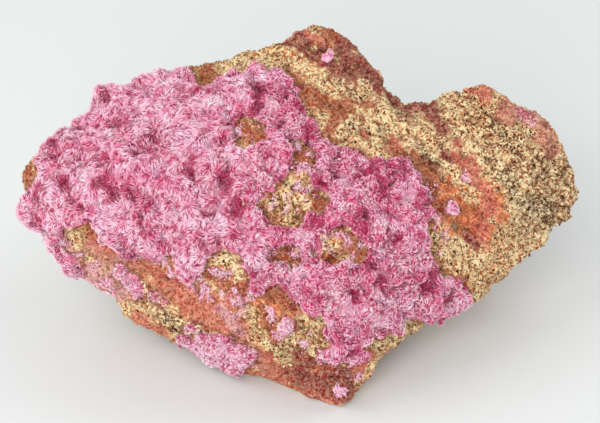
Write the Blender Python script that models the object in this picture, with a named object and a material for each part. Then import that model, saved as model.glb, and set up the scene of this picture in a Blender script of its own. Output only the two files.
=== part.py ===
"""An erythrite specimen: a broken lump of iron-stained ore with a crust of pink cobalt crystals on its front.

The rock is drawn as it is seen from the front, a little from above. Every point of it is read in that view
as right, up and towards the eye, in millimetres from the middle of the view, and is then turned into the
part's own frame, with +Z up. The crusts are grown on the finished rock, so that they fit it everywhere.
"""

import bmesh
import bpy
import numpy as np
from math import cos, radians, sin
from mathutils import Vector, noise
from mathutils.bvhtree import BVHTree
from mathutils.geometry import delaunay_2d_cdt

MM = 0.001

# The view that the rock is drawn in
LOOKING_DOWN = radians(30)
EYE_DISTANCE = 500.0
FLOOR_LEVEL = -22.6

# The rock's rim, as right, up and towards the eye, clockwise from the left tip
LEFT_TIP = [(-42.0, 5.3, -2), (-41.6, 7.4, -3), (-39.8, 8.3, -4)]
UPPER_LEFT_RIM = [
    (-36.9, 9.0, -5), (-34.6, 10.8, -5), (-32.2, 12.4, -6), (-30.5, 14.7, -6), (-28.5, 16.8, -7),
    (-25.7, 17.2, -7), (-23.2, 19.3, -8), (-20.0, 19.8, -8), (-16.6, 21.5, -9),
]
TOP_RIM = [
    (-9.8, 22.9, -10), (-6.5, 24.7, -11), (-2.1, 25.9, -12), (-1.2, 27.1, -13), (3.4, 27.8, -14),
    (7.0, 26.0, -14), (9.6, 23.6, -13), (12.0, 20.0, -12), (14.2, 17.6, -11),
    (15.8, 15.6, -10), (17.5, 16.4, -10),
]
RIGHT_LOBE_RIM = [
    (19.2, 15.8, -10), (21.4, 18.2, -12), (24.8, 18.2, -12), (26.2, 19.1, -12), (28.1, 18.8, -12),
    (30.8, 16.0, -11), (34.4, 14.7, -11), (38.2, 12.2, -10), (38.5, 10.6, -10), (40.5, 8.3, -10),
    (41.7, 3.2, -9), (40.8, 0.5, -9), (38.5, -2.5, -8), (36.6, -2.9, -8), (36.1, -4.7, -8),
]
LOWER_RIGHT_RIM = [
    (32.2, -7.7, -7), (27.0, -12.7, -5), (21.0, -16.0, -2), (17.6, -17.8, 0), (14.4, -19.7, 1),
    (11.2, -22.2, 2), (9.8, -25.6, 3), (6.6, -29.4, 4),
]
LOWER_LEFT_RIM = [
    (3.0, -28.9, 3), (-1.3, -26.6, 2), (-5.1, -25.0, 0), (-7.5, -24.7, -1), (-11.7, -22.3, -2),
    (-15.8, -20.6, -4), (-21.2, -18.5, -6), (-26.2, -15.4, -7), (-28.3, -12.5, -8), (-32.6, -9.2, -9),
    (-35.3, -7.5, -9), (-36.8, -5.1, -8), (-38.1, -2.0, -6), (-39.8, 0.6, -4),
]
RIM = LEFT_TIP + UPPER_LEFT_RIM + TOP_RIM + RIGHT_LOBE_RIM + LOWER_RIGHT_RIM + LOWER_LEFT_RIM

# The front: the broad face, the ridge under it, the side face below the ridge, and the right lobe
BROAD_FACE = [
    (-36.0, 3.5, 2.0), (-27.0, 12.0, 1.0), (-29.0, 5.0, 6.0), (-18.0, 16.5, 1.5), (-17.0, 6.0, 11.0),
    (-9.0, 18.0, 1.0), (-6.0, 8.0, 10.5), (1.0, -1.0, 15.0), (7.5, -8.0, 16.0), (12.5, 2.0, 10.0),
    (19.5, -4.0, 8.0), (24.0, -11.0, 3.5),
]
RIDGE = [
    (-36.0, -3.0, 1.0), (-29.0, -2.5, 7.5), (-21.0, -7.0, 10.5), (-11.0, -8.5, 14.0), (-3.0, -14.0, 15.0),
    (4.0, -19.0, 14.5), (12.0, -16.0, 9.5), (6.5, -24.5, 10.0),
]
SIDE_FACE = [(-31.0, -7.0, 0.0), (-22.0, -13.0, 3.0), (-12.5, -17.0, 6.5), (-4.0, -21.5, 8.0)]
TOP_LOBE = [(3.5, 23.0, -6.0), (0.0, 16.5, 0.5), (9.0, 17.5, -4.5), (9.0, 12.0, 2.5)]
RIGHT_LOBE = [
    (15.5, 13.0, -5.5), (20.0, 9.0, 1.0), (25.5, 15.0, -5.0), (27.0, 3.0, 4.0), (33.0, 9.5, -1.5),
    (36.5, 2.5, -1.5), (30.0, -4.5, 0.0), (17.0, 5.5, 6.0),
]
FRONT = BROAD_FACE + RIDGE + SIDE_FACE + TOP_LOBE + RIGHT_LOBE

# The back: it falls steeply from the rim to the flat break that the rock lies on
BACK = [
    (-36.0, 2.0, -12), (-26.0, 9.0, -18), (-26.0, -3.0, -19), (-14.0, 15.0, -21), (-14.0, 3.0, -28),
    (-12.0, -11.0, -30), (0.5, 18.5, -23), (2.5, 5.0, -31), (2.5, -5.0, -35), (3.0, -13.5, -32),
    (18.0, 8.5, -24), (19.5, -4.0, -29), (15.0, -13.0, -26), (30.5, 9.0, -20), (31.0, -2.5, -19),
    (8.5, -22.5, -11), (-1.5, -21.0, -16), (23.0, -11.5, -15), (-21.0, -11.5, -17),
]

# The rock's mesh, and how its surface is broken and weathered
RIM_BLUNTNESS = 3.0
FORM_VOXEL = 1.0
FORM_SMOOTHING = 3
CHUNK_SIZE = 9.0
CHUNK_TILT = 0.26
CHUNK_STEP = 0.9
LAYER_SPACING = 2.6
LAYER_RELIEF = 0.75
LUMP_SIZE = 3.4
LUMP_RELIEF = 0.45
PIT_SIZE = 6.5
PIT_DEPTH = 0.8
RIM_RELIEF = 0.4
ROCK_TRIANGLES = 4300
KEEP_DETAIL = 0.004
SHARP_FROM = radians(35)

# The crust: how thick it is, how wide its crystal balls are, and how far it wraps round the rim
GAP = 0.55
CRUST_THICKNESS = 1.0
TUFT_THICKNESS = 1.2
BALL_SIZE = 3.4
BALL_HEIGHT = 1.5
EDGE_WIDTH = 0.8
EDGE_WOBBLE = 0.8
EDGE_WOBBLE_SIZE = 1.9
HIDDEN_DEPTH = -2.0
WRAP_ENDS, WRAP_FADES = -0.22, -0.02
CRUST_ABOVE_FLOOR = 0.6
SKIN_VOXEL = 0.6
SKIN_TRIANGLES = 40000
CRUST_VOXEL = 0.4
CRUST_SMOOTHING = 2
CRUST_TRIANGLES_PER_MM2 = 0.95
EXTRA_TRIANGLES = 90
SPECK_VOLUME = 0.6

ORE_COLOUR = (0.50, 0.36, 0.20)
CRYSTAL_COLOUR = (0.62, 0.18, 0.36)

# Where the crusts lie, as right and up in the view, and the bare windows in the main one
MAIN_CRUST = [
    (-39.4, 8.2), (-40.3, 5.9), (-40.6, 3.2), (-43.0, -0.1), (-42.0, -2.2), (-41.0, -5.8), (-39.0, -9.8),
    (-35.1, -11.5), (-32.5, -10.6), (-31.8, -8.5), (-32.7, -6.7), (-35.1, -6.1), (-35.9, -4.3),
    (-34.8, -2.6), (-31.2, -2.3), (-30.3, -4.0), (-26.8, -5.2), (-23.2, -7.6), (-19.8, -7.0),
    (-17.7, -9.8), (-15.0, -10.4), (-13.2, -7.0), (-10.7, -5.8), (-8.1, -8.5), (-7.5, -10.9),
    (-5.7, -13.3), (-5.0, -11.9), (-2.2, -11.3), (-1.5, -15.2), (2.2, -16.6), (4.5, -20.0), (1.2, -20.3),
    (3.3, -21.8), (6.8, -23.8), (9.9, -21.6), (8.7, -19.9), (12.9, -18.5), (17.6, -16.4), (21.8, -15.8),
    (25.2, -12.4), (24.8, -9.8), (21.9, -9.1), (18.6, -4.3), (19.3, -1.9), (19.8, 1.7), (19.3, 4.0),
    (16.5, 8.0), (13.5, 7.7), (8.7, 8.5), (7.3, 10.6), (4.3, 9.8), (2.7, 13.7), (-0.4, 18.2),
    (-3.3, 20.9), (-10.2, 21.2), (-11.7, 19.4), (-13.2, 17.9), (-14.5, 17.9), (-15.3, 20.9),
    (-18.2, 22.5), (-21.0, 24.0), (-27.0, 22.5), (-33.0, 17.5), (-37.0, 13.0), (-40.0, 10.0),
]
WINDOWS = [
    [(-9.4, 12.5), (-8.2, 14.0), (-6.6, 13.6), (-4.8, 10.4), (-7.2, 9.7), (-9.3, 9.8)],
    [
        (-1.9, 9.8), (-0.6, 10.3), (1.2, 9.8), (1.8, 8.5), (0.8, 6.5), (0.6, 3.5), (3.8, 1.7), (3.6, 0.5),
        (0.4, -0.1), (-0.8, -1.6), (-4.2, -1.7), (-6.0, 0.7), (-4.2, 2.0), (-2.1, 4.7), (-0.6, 6.8),
    ],
    [
        (3.3, -4.3), (5.1, -2.9), (6.3, -2.2), (7.8, -3.1), (9.9, -5.8), (8.4, -7.3), (6.3, -6.8),
        (5.1, -8.0), (4.0, -7.4),
    ],
    [(-4.8, -5.6), (-1.6, -5.7), (0.3, -7.7), (-1.9, -8.2), (-3.5, -7.2)],
]
SIDE_BAND = [
    (-28.8, -7.2), (-27.0, -6.8), (-25.0, -8.6), (-22.3, -11.0), (-19.4, -12.6), (-17.2, -13.4),
    (-17.7, -15.6), (-20.7, -14.9), (-24.2, -13.1), (-27.7, -10.2),
]
LOWER_CRUST = [
    (-17.8, -16.4), (-16.2, -15.8), (-11.7, -17.9), (-7.5, -19.8), (-5.3, -21.8), (-6.8, -23.3),
    (-8.5, -25.0), (-12.0, -25.5), (-18.0, -22.5), (-19.5, -19.5),
]
CRUSTS = {
    "erythrite_crust": (MAIN_CRUST, WINDOWS, 1.0),
    "erythrite_side_band": (SIDE_BAND, [], 0.85),
    "erythrite_lower_crust": (LOWER_CRUST, [], 0.75),
}

# Small separate clumps of crystals: middle in the view, and radius
TUFTS = {
    "erythrite_tuft_right": (23.3, 0.7, 1.5),
    "erythrite_tuft_top": (4.0, 24.0, 1.5),
    "erythrite_tuft_foot": (5.2, -26.4, 2.0),
    "erythrite_tuft_ledge": (-3.0, -17.4, 1.9),
}


def clear_scene():
    for item in list(bpy.data.objects):
        bpy.data.objects.remove(item)


def from_view(right, up, towards):
    """A point of the view, in the part's own axes, in millimetres."""
    spread = 1 - towards / EYE_DISTANCE
    right, up = right * spread, up * spread
    return Vector((
        right,
        up * sin(LOOKING_DOWN) - towards * cos(LOOKING_DOWN),
        up * cos(LOOKING_DOWN) + towards * sin(LOOKING_DOWN),
    ))


def to_view(points):
    """Rows of points in the part's own axes, as right, up and towards the eye."""
    up = points[:, 1] * sin(LOOKING_DOWN) + points[:, 2] * cos(LOOKING_DOWN)
    towards = points[:, 2] * sin(LOOKING_DOWN) - points[:, 1] * cos(LOOKING_DOWN)
    spread = 1 - towards / EYE_DISTANCE
    return points[:, 0] / spread, up / spread, towards


def smooth_step(values):
    values = np.clip(values, 0, 1)
    return values * values * (3 - 2 * values)


def reach_inside(outline, right, up):
    """How far each point lies inside a closed outline, negative outside it."""
    corners = np.array(outline, float)
    nearest = np.full(len(right), np.inf)
    inside = np.zeros(len(right), bool)
    for (x0, y0), (x1, y1) in zip(corners, np.roll(corners, -1, axis=0)):
        side_x, side_y = x1 - x0, y1 - y0
        along = ((right - x0) * side_x + (up - y0) * side_y) / (side_x**2 + side_y**2)
        along = np.clip(along, 0, 1)
        nearest = np.minimum(nearest, np.hypot(right - x0 - along * side_x, up - y0 - along * side_y))
        if y0 != y1:
            crosses = (y0 > up) != (y1 > up)
            inside ^= crosses & (right < x0 + (up - y0) / (y1 - y0) * side_x)
    return np.where(inside, nearest, -nearest)


def positions(mesh):
    flat = np.empty(len(mesh.vertices) * 3)
    mesh.vertices.foreach_get("co", flat)
    return flat.reshape(-1, 3)


def set_positions(mesh, points):
    mesh.vertices.foreach_set("co", points.ravel())
    mesh.update()


def normals(mesh):
    """The direction out of the surface at each vertex, added up in the same order every time."""
    mesh.calc_loop_triangles()
    corners = np.empty(len(mesh.loop_triangles) * 3, np.int32)
    mesh.loop_triangles.foreach_get("vertices", corners)
    corners = corners.reshape(-1, 3)
    a, b, c = (positions(mesh)[corners[:, i]] for i in range(3))
    total = np.zeros((len(mesh.vertices), 3))
    for i in range(3):
        np.add.at(total, corners[:, i], np.cross(b - a, c - a))
    return total / np.linalg.norm(total, axis=1)[:, None]


def new_object(name, mesh):
    item = bpy.data.objects.new(name, mesh)
    bpy.context.scene.collection.objects.link(item)
    return item


def copy_of(item, name):
    return new_object(name, item.data.copy())


def apply_modifiers(item):
    """The object's evaluated mesh takes the place of its own."""
    bpy.context.view_layer.update()
    evaluated = item.evaluated_get(bpy.context.evaluated_depsgraph_get())
    mesh = bpy.data.meshes.new_from_object(evaluated)
    item.modifiers.clear()
    item.data = mesh


def make_even(item, voxel_size, rounding):
    """The object closed and given an even mesh, then rounded a little."""
    remesh = item.modifiers.new("even", "REMESH")
    remesh.mode = "VOXEL"
    remesh.voxel_size = voxel_size
    if rounding:
        smooth = item.modifiers.new("round", "SMOOTH")
        smooth.iterations = rounding
    apply_modifiers(item)


def thin_out(item, triangles, hidden=None):
    """The same form in fewer triangles. More of them go where the surface is hidden."""
    fewer = item.modifiers.new("fewer", "DECIMATE")
    fewer.ratio = min(1, triangles / (2 * len(item.data.vertices)))
    fewer.use_collapse_triangulate = True
    if hidden is not None:
        group = item.vertex_groups.new(name="hidden")
        for index, amount in enumerate(hidden):
            group.add([index], 0.2 + 0.8 * float(amount), "REPLACE")
        fewer.vertex_group = group.name
        fewer.vertex_group_factor = KEEP_DETAIL
    apply_modifiers(item)
    item.vertex_groups.clear()


def cut_flat(item, level):
    """The object loses what is under a level, and is closed there by a flat face."""
    shell = bmesh.new()
    shell.from_mesh(item.data)
    cut = bmesh.ops.bisect_plane(
        shell, geom=shell.verts[:] + shell.edges[:] + shell.faces[:], dist=1e-4,
        plane_co=(0, 0, level), plane_no=(0, 0, 1), clear_inner=True,
    )
    around = [part for part in cut["geom_cut"] if isinstance(part, bmesh.types.BMEdge)]
    bmesh.ops.holes_fill(shell, edges=around, sides=0)
    bmesh.ops.triangulate(shell, faces=shell.faces[:])
    bmesh.ops.recalc_face_normals(shell, faces=shell.faces)
    shell.to_mesh(item.data)
    shell.free()


def loose_pieces(mesh):
    """The separate closed bodies of a mesh, each as a mesh of its own with its volume."""
    whole = bmesh.new()
    whole.from_mesh(mesh)
    whole.faces.ensure_lookup_table()
    seen = [False] * len(whole.faces)
    found = []
    for first in range(len(whole.faces)):
        if seen[first]:
            continue
        seen[first] = True
        piece, growing, twins = bmesh.new(), [first], {}
        while growing:
            face = whole.faces[growing.pop()]
            for corner in face.verts:
                if corner.index not in twins:
                    twins[corner.index] = piece.verts.new(corner.co)
            piece.faces.new([twins[corner.index] for corner in face.verts])
            for other in (other for edge in face.edges for other in edge.link_faces):
                if not seen[other.index]:
                    seen[other.index] = True
                    growing.append(other.index)
        body = bpy.data.meshes.new("body")
        piece.to_mesh(body)
        found.append((body, piece.calc_volume()))
        piece.free()
    whole.free()
    return found


def side_of_cage(cage, rim, inner_points):
    """One side of the low cage: its points triangulated inside the rim."""
    flat = [Vector(point[:2]) for point in RIM + inner_points]
    corners = rim + [cage.verts.new(from_view(*point)) for point in inner_points]
    made = delaunay_2d_cdt(flat, [], [list(range(len(RIM)))], 1, 1e-5)
    sources = [ids[0] for ids in made[3]]
    for triangle in made[2]:
        cage.faces.new([corners[sources[i]] for i in triangle])


def make_form():
    """The rock's overall form: a low closed cage of flat breaks, given an even mesh and rounded a little."""
    cage = bmesh.new()
    rims = []
    for offset in (RIM_BLUNTNESS / 2, -RIM_BLUNTNESS / 2):
        rims.append([cage.verts.new(from_view(x, y, w + offset)) for x, y, w in RIM])
    side_of_cage(cage, rims[0], FRONT)
    side_of_cage(cage, rims[1], BACK)
    for i in range(len(RIM)):
        j = (i + 1) % len(RIM)
        cage.faces.new([rims[0][i], rims[0][j], rims[1][j], rims[1][i]])
    bmesh.ops.recalc_face_normals(cage, faces=cage.faces)
    mesh = bpy.data.meshes.new("form")
    cage.to_mesh(mesh)
    cage.free()
    form = new_object("form", mesh)
    make_even(form, FORM_VOXEL, FORM_SMOOTHING)
    return form


def facing_eye(points, directions):
    """1 where the surface faces the eye, 0 at the silhouette, negative behind it."""
    sight = np.array(from_view(0, 0, EYE_DISTANCE)) - points
    sight /= np.linalg.norm(sight, axis=1)[:, None]
    return (sight * directions).sum(axis=1)


def rock_relief(point):
    """Height of the broken surface at a point, in millimetres: tilted chunks, layers, lumps and pits."""
    centre = noise.voronoi(point / CHUNK_SIZE)[1][0] * CHUNK_SIZE
    tilt = Vector([noise.noise(centre * 0.37 + Vector((0, 0, step))) for step in (7.3, 19.1, 41.7)])
    chunk = CHUNK_TILT * (point - centre).dot(tilt) + CHUNK_STEP * noise.noise(centre * 2.3)
    right, up, towards = (values[0] for values in to_view(np.array([point])))
    across, along = 0.55 * right + 0.83 * up, 0.83 * right - 0.55 * up
    layer = noise.noise(Vector((across / LAYER_SPACING, along / 16, towards / 11)))
    lump = noise.noise(point / LUMP_SIZE) + 0.6 * noise.noise(point / LUMP_SIZE * 2.1)
    edges = noise.voronoi(point / PIT_SIZE)[0]
    pit = max(0.0, 1 - (edges[1] - edges[0]) * 5)
    return chunk + LAYER_RELIEF * layer + LUMP_RELIEF * lump - PIT_DEPTH * pit


def weather(form, directions, facing):
    """The form's surface, moved in and out by the relief, and less so at the rim."""
    points = positions(form.data)
    heights = np.array([rock_relief(Vector(point)) for point in points])
    calm = RIM_RELIEF + (1 - RIM_RELIEF) * smooth_step(abs(facing) / 0.5)
    set_positions(form.data, points + directions * ((heights - heights.mean()) * calm)[:, None])


def make_rock(form, covered):
    """The rock itself: the weathered form in fewer faces, cut flat where it lies."""
    rock = copy_of(form, "ore_matrix")
    thin_out(rock, ROCK_TRIANGLES, covered)
    cut_flat(rock, FLOOR_LEVEL)
    rock.data = max(loose_pieces(rock.data), key=lambda found: found[1])[0]
    return rock


def tuft_middles(points, facing):
    """Where each tuft grows: the foremost point of the rock's surface at its place in the view."""
    right, up, towards = to_view(points)
    middles = {}
    for name, (tuft_right, tuft_up, _) in TUFTS.items():
        near = (np.hypot(right - tuft_right, up - tuft_up) < 1.2) & (facing > 0)
        middles[name] = points[np.argmax(np.where(near, towards, -np.inf))]
    return middles


def crust_cover(points, facing, middles):
    """How far inside a crust each point of the rock lies, negative outside, and how thick it is there."""
    right, up, _ = to_view(points)
    reach = np.full(len(points), -np.inf)
    thickness = np.zeros(len(points))
    for outline, windows, thick in CRUSTS.values():
        inside = reach_inside(outline, right, up)
        for window in windows:
            inside = np.minimum(inside, -reach_inside(window, right, up))
        thickness = np.where(inside > reach, thick, thickness)
        reach = np.maximum(reach, inside)
    for name, middle in middles.items():
        inside = TUFTS[name][2] - np.linalg.norm(points - middle, axis=1)
        thickness = np.where(inside > reach, TUFT_THICKNESS, thickness)
        reach = np.maximum(reach, inside)
    wrapped = smooth_step((facing - WRAP_ENDS) / (WRAP_FADES - WRAP_ENDS))
    return reach, thickness, wrapped


def ball_height(point):
    """Height of the crystal balls that the crust is made of, at a point."""
    near, centres = noise.voronoi(point / BALL_SIZE)
    roundness = 1 - max(0.0, 1 - (near[1] - near[0]) / 0.55) ** 2
    return BALL_HEIGHT * roundness * (0.85 + 0.9 * noise.noise(centres[0] * 5.3))


def grow_crusts(form, directions, rock, cover):
    """All crusts at once: what a second skin, raised by the crust's height, leaves proud of the rock."""
    reach, thickness, wrapped = cover
    skin = copy_of(form, "crusts")
    points = positions(skin.data)
    wobble = np.array([noise.noise(Vector(point) / EDGE_WOBBLE_SIZE) for point in points])
    edge = smooth_step((reach + EDGE_WOBBLE * wobble) / EDGE_WIDTH + 0.4)
    balls = np.array([ball_height(Vector(point)) for point in points])
    raised = thickness * (CRUST_THICKNESS + balls)
    heights = HIDDEN_DEPTH + (raised - HIDDEN_DEPTH) * edge * wrapped
    set_positions(skin.data, points + directions * heights[:, None])
    make_even(skin, SKIN_VOXEL, 0)
    thin_out(skin, SKIN_TRIANGLES)
    cut_flat(skin, FLOOR_LEVEL + CRUST_ABOVE_FLOOR)
    bed = copy_of(rock, "bed")
    set_positions(bed.data, positions(bed.data) + normals(bed.data) * GAP)
    bed.hide_render = True
    bed.display_type = "WIRE"
    cut = skin.modifiers.new("lies on the rock", "BOOLEAN")
    cut.operation = "DIFFERENCE"
    cut.solver = "EXACT"
    cut.object = bed
    apply_modifiers(skin)
    bpy.data.objects.remove(bed)
    make_even(skin, CRUST_VOXEL, CRUST_SMOOTHING)
    return skin


def patch_name(points, middles):
    """The name of the crust or tuft that a loose body belongs to."""
    right, up, _ = to_view(points)
    reaches = {name: reach_inside(outline, right, up).mean() for name, (outline, _, _) in CRUSTS.items()}
    for name, middle in middles.items():
        reaches[name] = (TUFTS[name][2] + 1 - np.linalg.norm(points - middle, axis=1)).mean()
    return max(reaches, key=reaches.get)


def split_crusts(crusts, rock, middles):
    """One object for each crust and tuft. Specks that came loose are left out."""
    largest = {}
    for mesh, volume in loose_pieces(crusts.data):
        name = patch_name(positions(mesh), middles)
        if volume > max(SPECK_VOLUME, largest.get(name, (None, 0))[1]):
            largest[name] = (mesh, volume)
    bpy.data.objects.remove(crusts)
    bed = BVHTree.FromPolygons(
        [vertex.co for vertex in rock.data.vertices], [face.vertices for face in rock.data.polygons]
    )
    made = [new_object(name, mesh) for name, (mesh, _) in sorted(largest.items())]
    for item in made:
        depths = np.array([bed.find_nearest(Vector(point))[3] for point in positions(item.data)])
        area = sum(face.area for face in item.data.polygons)
        thin_out(item, area * CRUST_TRIANGLES_PER_MM2 + EXTRA_TRIANGLES, depths < GAP + 0.25)
    return made


def settle(rock, crusts):
    """Every piece in metres and at its own middle, with the specimen's base resting at the origin."""
    items = [rock] + crusts
    points = np.concatenate([positions(item.data) for item in items])
    low, high = points.min(axis=0), points.max(axis=0)
    base = np.array([(low[0] + high[0]) / 2, (low[1] + high[1]) / 2, low[2]])
    for item in items:
        places = (positions(item.data) - base) * MM
        middle = (places.min(axis=0) + places.max(axis=0)) / 2
        set_positions(item.data, places - middle)
        item.location = middle
        if item != rock:
            item.parent = rock
            item.location = middle - np.array(rock.location)


def finish(item, material_name, colour, roughness):
    material = bpy.data.materials.new(material_name)
    material.use_nodes = True
    surface = material.node_tree.nodes["Principled BSDF"]
    surface.inputs["Base Color"].default_value = (*colour, 1)
    surface.inputs["Roughness"].default_value = roughness
    surface.inputs["Metallic"].default_value = 0
    item.data.materials.clear()
    item.data.materials.append(material)
    item.data.shade_smooth()
    item.data.set_sharp_from_angle(angle=SHARP_FROM)


def main():
    clear_scene()
    form = make_form()
    directions = normals(form.data)
    facing = facing_eye(positions(form.data), directions)
    weather(form, directions, facing)
    surface = positions(form.data)
    middles = tuft_middles(surface, facing)
    cover = crust_cover(surface, facing, middles)
    covered = np.clip(cover[0] / 2, 0, 1) * cover[2]
    rock = make_rock(form, covered)
    crusts = split_crusts(grow_crusts(form, directions, rock, cover), rock, middles)
    bpy.data.objects.remove(form)
    settle(rock, crusts)
    finish(rock, "weathered_ore", ORE_COLOUR, 0.9)
    for crust in crusts:
        finish(crust, crust.name + "_crystals", CRYSTAL_COLOUR, 0.6)


main()
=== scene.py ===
"""An erythrite specimen: a broken lump of iron-stained ore under a crust of pink crystals."""

import math

import bmesh
import bpy
import numpy as np
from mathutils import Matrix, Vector, noise
from mathutils.bvhtree import BVHTree
from mathutils.kdtree import KDTree


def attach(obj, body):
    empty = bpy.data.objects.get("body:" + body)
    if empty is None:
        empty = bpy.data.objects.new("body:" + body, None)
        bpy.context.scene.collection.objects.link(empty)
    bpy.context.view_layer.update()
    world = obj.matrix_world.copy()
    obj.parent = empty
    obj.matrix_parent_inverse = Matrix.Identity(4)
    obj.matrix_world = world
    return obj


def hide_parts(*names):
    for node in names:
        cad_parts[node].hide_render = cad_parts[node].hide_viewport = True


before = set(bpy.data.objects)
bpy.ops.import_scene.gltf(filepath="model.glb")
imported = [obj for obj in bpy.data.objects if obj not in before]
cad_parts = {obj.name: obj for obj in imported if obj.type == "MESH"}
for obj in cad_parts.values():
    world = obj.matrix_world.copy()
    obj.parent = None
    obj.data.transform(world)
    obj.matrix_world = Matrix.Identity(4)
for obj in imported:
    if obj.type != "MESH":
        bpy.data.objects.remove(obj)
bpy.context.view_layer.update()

scene = bpy.context.scene

ORE_SPACING = 0.40  # mm between the points of the lump's mesh
CRUST_SPACING = 0.34
ORE_SMOOTHING = 9
ORE_LUMPS = ((3.2, 0.50), (1.5, 0.36), (0.8, 0.24))  # mm across, mm high
GRAIN_ACROSS, GRAIN_HIGH = 1.05, 0.34
PIT_ACROSS, PIT_DEEP = 1.3, 0.55
KNOB_ACROSS, KNOB_HIGH = 1.9, 0.9
LAYER_SPACING, LAYER_RELIEF, LAYER_WAVER = 1.5, 0.16, 2.5
ACROSS_LAYERS = (0.55, 0.83)  # the way across the layers, to the right and up
LAYERS_FROM = (6, 16)  # mm to the right where the layers start to show, and where they are full
FLAT_BREAK = (0.15, 1.1)  # mm above the floor where the relief starts, and where it is full
COARSE_FROM = ((30, 36), (12, 7))  # mm where the coarse end starts and is full: to the right, and up
UNDER_CRUST = 0.2  # mm, the most that the relief stands up under a crust
RAY_START, RAY_LENGTH = 0.4, 3.2  # mm: a search for crust starts this far inside the lump
CRUST_NEAR, CRUST_FAR = 3.0, 9.0  # mm: how far a crust is looked for, and what counts where there is none

# The front is seen from 30 degrees above the horizontal and half a metre away. Places are in mm.
LOOKING_DOWN = math.radians(30)
EYE_DISTANCE = 500.0
FRONT_CENTRE = np.array((-0.139, -3.930, 22.6))
TO_EYE = np.array((0.0, -math.cos(LOOKING_DOWN), math.sin(LOOKING_DOWN)))
UP_FRONT = np.array((0.0, math.sin(LOOKING_DOWN), math.cos(LOOKING_DOWN)))

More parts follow.
